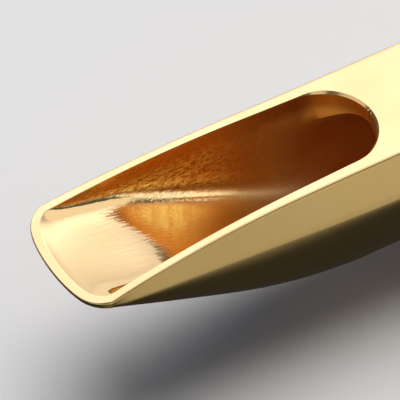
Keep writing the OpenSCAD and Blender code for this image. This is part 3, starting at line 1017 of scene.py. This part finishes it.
def plated(name, colour, deep, rough, grain, grain_depth, streak, streak_depth):
    """Plated metal: fine grain and lengthwise marks in the surface, uneven colour and polish."""
    mat, tree, shader = node_material(name)
    cloud = object_noise(tree, CLOUD_PER_MM, 3)
    normal = bump(tree, object_noise(tree, (grain,) * 3, 2), grain_depth)
    normal = bump(tree, object_noise(tree, streak, 3, 0.6), streak_depth, previous=normal)
    return finish(mat, tree, shader, 1, ramp(tree, cloud, 0.35, 0.7, colour, deep),
                  ramp(tree, cloud, 0.3, 0.7, *rough), normal)


def rise_between(tree, axis, start, end):
    """Rises smoothly from 0 to 1 between two places along an axis, given in mm."""
    share = tree.nodes.new("ShaderNodeMapRange")
    share.interpolation_type = "SMOOTHERSTEP"
    share.inputs["From Min"].default_value = start * MM
    share.inputs["From Max"].default_value = end * MM
    tree.links.new(coordinate(tree, "Object", axis), share.inputs["Value"])
    return share.outputs["Result"]


def behind_tip(tree, places):
    """Rises from 0 to 1 between two places behind the tip."""
    return rise_between(tree, "X", TIP_X + places[0], TIP_X + places[1])


def below_table(tree, places):
    """Rises from 0 to 1 between two depths below the table."""
    return rise_between(tree, "Z", TABLE_Z - places[0], TABLE_Z - places[1])


def combine(tree, operation, a, b):
    """One number worked out from two, each of them a socket or a plain number."""
    node = tree.nodes.new("ShaderNodeMath")
    node.operation = operation
    plug(tree, a, node.inputs[0])
    plug(tree, b, node.inputs[1])
    return node.outputs["Value"]


def mix_colours(tree, share, first, second):
    """Goes from the first colour to the second as share goes from 0 to 1."""
    node = tree.nodes.new("ShaderNodeMix")
    node.data_type = "RGBA"
    tree.links.new(share, node.inputs["Factor"])
    plug(tree, first, node.inputs[6])
    plug(tree, second, node.inputs[7])
    return node.outputs[2]


def inside_colour(tree, glint_and_fleck_noise, ahead):
    """Walls darkened by painted shade and marked low down by painted glints, brighter metal in the
    chamber, and plain gold on the floor.
    """
    low_ahead = combine(tree, "MULTIPLY", below_table(tree, PAINTED_GLINTS_BELOW), ahead)
    # painted glints: bright gold flecks low on the walls towards the front, over a real fleck relief
    painted_glints = combine(tree, "MULTIPLY", ramp(tree, glint_and_fleck_noise, 0.43, 0.56, 0, 1), low_ahead)
    in_chamber = behind_tip(tree, CHAMBER_BEHIND)
    deep = combine(tree, "MULTIPLY", in_chamber, below_table(tree, CHAMBER_BELOW))
    # painted shade: the walls take the dark wall gold, which gives way to the chamber's gold deep in the
    # chamber
    plain = ramp(tree, deep, 0, 1, WALL_GOLD_PAINTED_SHADE, CHAMBER_GOLD)
    walls = mix_colours(tree, painted_glints, plain, FLECK_GOLD_PAINTED_GLINT)
    bottom = ramp(tree, object_noise(tree, CLOUD_PER_MM, 3), 0.35, 0.7, GOLD, GOLD_DEEP)
    # surfaces that face up take plain gold, and those that face sideways keep the painted shade
    on_floor = ramp(tree, coordinate(tree, "Normal", "Z"), WALL_UP, FLOOR_UP, 0, 1)
    return mix_colours(tree, on_floor, walls, bottom)


def inside_roughness(tree):
    """Walls duller than the floor, and both duller towards the chamber."""
    by_side = ramp(tree, coordinate(tree, "Normal", "Z"), WALL_UP, FLOOR_UP, 0.16, 0.08)
    by_place = ramp(tree, behind_tip(tree, DULL_BEHIND), 0, 1, 0, 0.29)
    return combine(tree, "ADD", by_side, by_place)


def inside_relief(tree, glint_and_fleck_noise, ahead):
    """Orange peel and fleck relief on the walls, and filed streaks that are faint at the very front."""
    on_walls = ramp(tree, coordinate(tree, "Normal", "Z"), 0.3, 0.8, 1, 0.1)
    past_front = ramp(tree, behind_tip(tree, FILED_BEHIND), 0, 1, 0.15, 1)
    peel = object_noise(tree, (1.1, 1.7, 1.7), 4, 0.65)
    filed = object_noise(tree, (0.3, 2.4, 2.4), 3, 0.6)
    normal = bump(tree, peel, 0.04, strength=on_walls)
    fleck_walls = combine(tree, "MULTIPLY", on_walls, ahead)
    normal = bump(tree, glint_and_fleck_noise, 0.036, previous=normal, strength=fleck_walls)
    return bump(tree, filed, 0.022, previous=normal, strength=past_front)


def inside_metal(name):
    """Worked gold for the window's walls and floor and for the chamber, with painted shade and painted
    glints on the walls.
    """
    mat, tree, shader = node_material(name)
    glint_and_fleck_noise = object_noise(tree, (1.5, 4.6, 4.6), 3, 0.65)
    ahead = behind_tip(tree, GLINTS_AND_FLECKS_BEHIND)
    return finish(mat, tree, shader, 1, inside_colour(tree, glint_and_fleck_noise, ahead), inside_roughness(tree),
                  inside_relief(tree, glint_and_fleck_noise, ahead))


def black_rubber(name, rough, grain, depth):
    """Dark moulded plastic or hard rubber with fine grain and faint wear."""
    mat, tree, shader = node_material(name)
    wear = object_noise(tree, (0.5, 0.5, 0.5), 4, 0.6)
    return finish(mat, tree, shader, 0, ramp(tree, wear, 0.4, 0.75, RUBBER_BLACK, RUBBER_WORN),
                  ramp(tree, wear, 0.35, 0.7, *rough),
                  bump(tree, object_noise(tree, (grain,) * 3, 3, 0.6), depth))


outside_gold = plated(
    "gold_outside", GOLD, GOLD_DEEP, rough=(0.14, 0.18), grain=0.8, grain_depth=0.0006,
    streak=(0.3, 3.0, 3.0), streak_depth=0.0004)
shank_gold = plated(
    "gold_turned", GOLD, GOLD_DEEP, rough=(0.15, 0.2), grain=0.8, grain_depth=0.0006,
    streak=(9.0, 0.4, 0.4), streak_depth=0.0012)
ligature_gold = plated(
    "gold_ligature", LIGATURE_GOLD, GOLD_DEEP, rough=(0.16, 0.24), grain=0.9,
    grain_depth=0.0008, streak=(0.6, 6.0, 6.0), streak_depth=0.0012)
fixing_gold = plated(
    "gold_fixings", FIXING_GOLD, FIXING_GOLD_DEEP, rough=(0.2, 0.3), grain=1.5,
    grain_depth=0.001, streak=(5.0, 5.0, 5.0), streak_depth=0.001)
worked_gold_and_painted_light = inside_metal("gold_inside_painted_light")
polished_rubber = black_rubber("bite_plate_rubber", rough=(0.12, 0.24), grain=2.5, depth=0.002)
nylon = black_rubber("pad_nylon", rough=(0.5, 0.6), grain=6.0, depth=0.006)

make_head(outside_gold, worked_gold_and_painted_light)
make_shank(shank_gold)
make_bite_plate(polished_rubber)
for screw_end in ("front", "rear"):
    make_ring(screw_end, ligature_gold)
    make_bush(screw_end, ligature_gold)
    make_rest_pad(screw_end, nylon)
    make_cup(screw_end, ligature_gold)
    make_clip(screw_end, fixing_gold)
    make_stem(screw_end, fixing_gold)
    make_knob(screw_end, ligature_gold)
make_bars(ligature_gold)
for ligature_side in ("left", "right"):
    make_side_bar(ligature_side, ligature_gold)
box_plate("pressure_plate", "rounded", [], PLATE_CORNER, 0.3, ligature_gold, "plate")
for plate_side in ("left", "right"):
    make_reed_pad(plate_side, nylon)
make_screws("bridge_screws", FIXING_HEAD_R, box_mm("bridge_bar")[1][2],
            box_mm("bridge_screws")[1][2], 0.35, 1, fixing_gold)
make_screws("spine_screws", FIXING_R, box_mm("spine_screws")[0][2],
            box_mm("spine_screws")[1][2], 0.3, -1, fixing_gold)

# ---- studio

LENS = 444.3
VIEW_AZIMUTH = 206.93
VIEW_ELEVATION = 46.83
VIEW_ROLL = -3.54
VIEW_DISTANCE = 0.5071
AIM = Vector(((TIP_X + 16.744) * MM, -1.8345 * MM, TABLE_Z * MM))
FLOOR_Z = cad_box[0].z


def seen_at(azimuth, elevation, distance):
    """A point seen from the aim at this azimuth (0 along +Y, 90 along +X) and elevation."""
    a, e = math.radians(azimuth), math.radians(elevation)
    return AIM + distance * Vector((math.sin(a) * math.cos(e), math.cos(a) * math.cos(e), math.sin(e)))


camera_data = bpy.data.cameras.new("camera")
camera = add_object("camera", camera_data)
camera_data.lens = LENS
camera_data.sensor_width = 36
camera_data.clip_start = 0.01
camera.location = seen_at(VIEW_AZIMUTH, VIEW_ELEVATION, VIEW_DISTANCE)
camera.rotation_mode = "QUATERNION"
level = (AIM - camera.location).to_track_quat("-Z", "Y")
camera.rotation_quaternion = level @ Quaternion((0, 0, 1), math.radians(VIEW_ROLL))
bpy.context.scene.camera = camera


def panel_mesh(name, centre, target, width, height):
    """A flat rectangle at centre that faces a point; its own X is level where it stands up."""
    facing = (Vector(target) - Vector(centre)).normalized()
    across = Vector((0, 0, 1)).cross(facing)
    across = across.normalized() if across.length > 1e-3 else Vector((1, 0, 0))
    up = facing.cross(across)
    corners = [(-1, -1), (1, -1), (1, 1), (-1, 1)]
    mesh = bpy.data.meshes.new(name)
    mesh.from_pydata([(x * width / 2, y * height / 2, 0) for x, y in corners], [], [(0, 1, 2, 3)])
    obj = add_object(name, mesh)
    obj.matrix_world = Matrix((
        (across.x, up.x, facing.x, centre[0]),
        (across.y, up.y, facing.y, centre[1]),
        (across.z, up.z, facing.z, centre[2]),
        (0, 0, 0, 1),
    ))
    return obj


def card(name, centre, target, width, height, glow, tint=(1, 1, 1)):
    """A card that shows only in reflections; glow(tree) gives its brightness, or is a number."""
    obj = panel_mesh(name, centre, target, width, height)
    mat, tree, shader = node_material(name)
    shader.inputs["Base Color"].default_value = (0, 0, 0, 1)
    shader.inputs["Specular IOR Level"].default_value = 0
    shader.inputs["Emission Color"].default_value = (*tint, 1)
    plug(tree, glow(tree) if callable(glow) else glow, shader.inputs["Emission Strength"])
    obj.data.materials.append(mat)
    obj.visible_camera = False
    obj.visible_diffuse = False
    obj.visible_shadow = False
    obj.visible_transmission = False


def stepped(tree, source, stops, peak):
    """Brightness that follows (place, share of the peak) stops."""
    node = tree.nodes.new("ShaderNodeValToRGB")
    elements = node.color_ramp.elements
    while len(elements) < len(stops):
        elements.new(0.5)
    for element, (position, share) in zip(elements, stops):
        element.position = position
        element.color = (share, share, share, 1)
    tree.links.new(source, node.inputs["Fac"])
    return combine(tree, "MULTIPLY", node.outputs["Color"], peak)


def across_card(axis, stops, peak):
    """Brightness that changes along a card's own X or Y, from 0 at one edge to 1 at the other."""
    return lambda tree: stepped(tree, coordinate(tree, "Generated", axis), stops, peak)


def beside_line(reach, stops, peak):
    """Brightness that changes with distance from a card's own X axis, from 0 there to 1 at reach."""
    def glow(tree):
        away = combine(tree, "ABSOLUTE", coordinate(tree, "Object", "Y"), 0)
        return stepped(tree, combine(tree, "DIVIDE", away, reach), stops, peak)
    return glow


KEY_TINT = (0.97, 1.0, 1.5)
SIDE_TINT = (1.0, 1.0, 1.3)
FLOOR_COLOUR = (0.78, 0.77, 0.75, 1)
# Brightness along the two main panels: (place, share of the peak)
KEY_GLOW = [(0, 0.5), (0.2, 0.64), (0.37, 1), (0.5, 0.85), (0.7, 0.3), (1, 0.7)]
SIDE_GLOW = [(0, 0.6), (0.5, 1), (1, 0.8)]
# The same on the floor card, by distance from a line under the mouthpiece: dark close to the line, a
# painted shade that shows in the mouthpiece's reflections
FLOOR_GLOW_PAINTED_SHADE = [(0.035, 0.05), (0.058, 0.72), (0.3, 0.8), (0.6, 1.0)]

over_aim = (AIM.x, AIM.y, 1)
floor = panel_mesh("floor", (AIM.x, AIM.y, FLOOR_Z), over_aim, 4, 4)
floor_mat, _, floor_shader = node_material("pale_floor")
floor_shader.inputs["Base Color"].default_value = FLOOR_COLOUR
floor_shader.inputs["Roughness"].default_value = 0.7
floor.data.materials.append(floor_mat)

card("key_panel", seen_at(25, 56, 0.8), AIM, 1.1, 0.96, across_card("Y", KEY_GLOW, 1.6), KEY_TINT)
card("side_panel", seen_at(105, 21, 0.9), AIM, 1.55, 0.52, across_card("X", SIDE_GLOW, 1.2), SIDE_TINT)
card("overhead_panel", seen_at(88, 63, 0.85), AIM, 0.95, 0.7, 0.95, SIDE_TINT)
card("low_panel", seen_at(14, 14, 0.95), AIM, 0.95, 0.5, 0.95, KEY_TINT)
card("fill_panel", seen_at(196, 38, 1.0), AIM, 0.6, 0.34, 0.8, SIDE_TINT)
card("left_panel", seen_at(268, 30, 1.0), AIM, 1.1, 0.5, 0.7, SIDE_TINT)
card("near_panel", seen_at(172, 10, 1.1), AIM, 0.9, 0.5, 0.42)
# painted shade in reflections: a card over the floor that glows like the lit floor further out and is
# dark close under the mouthpiece
card("floor_card_painted_shade", (AIM.x, AIM.y, FLOOR_Z + 0.0005), over_aim, 2.4, 2.4,
     beside_line(0.5, FLOOR_GLOW_PAINTED_SHADE, 0.55))

top_data = bpy.data.lights.new("top_light", "AREA")
top_data.shape = "RECTANGLE"
top_data.size = 0.8
top_data.size_y = 0.8
top_data.energy = 9
top_light = add_object("top_light", top_data)
top_light.location = AIM + Vector((0.1, 0.2, 0.9))
top_light.rotation_mode = "QUATERNION"
top_light.rotation_quaternion = (AIM - top_light.location).to_track_quat("-Z", "Y")
top_light.visible_camera = False
top_light.visible_glossy = False

world = bpy.data.worlds.new("studio")
scene.world = world
world.use_nodes = True
background = world.node_tree.nodes["Background"]
background.inputs["Color"].default_value = (0.9, 0.92, 1, 1)
background.inputs["Strength"].default_value = 0.12

scene.view_settings.view_transform = "Standard"
scene.cycles.max_bounces = 16
scene.cycles.glossy_bounces = 14
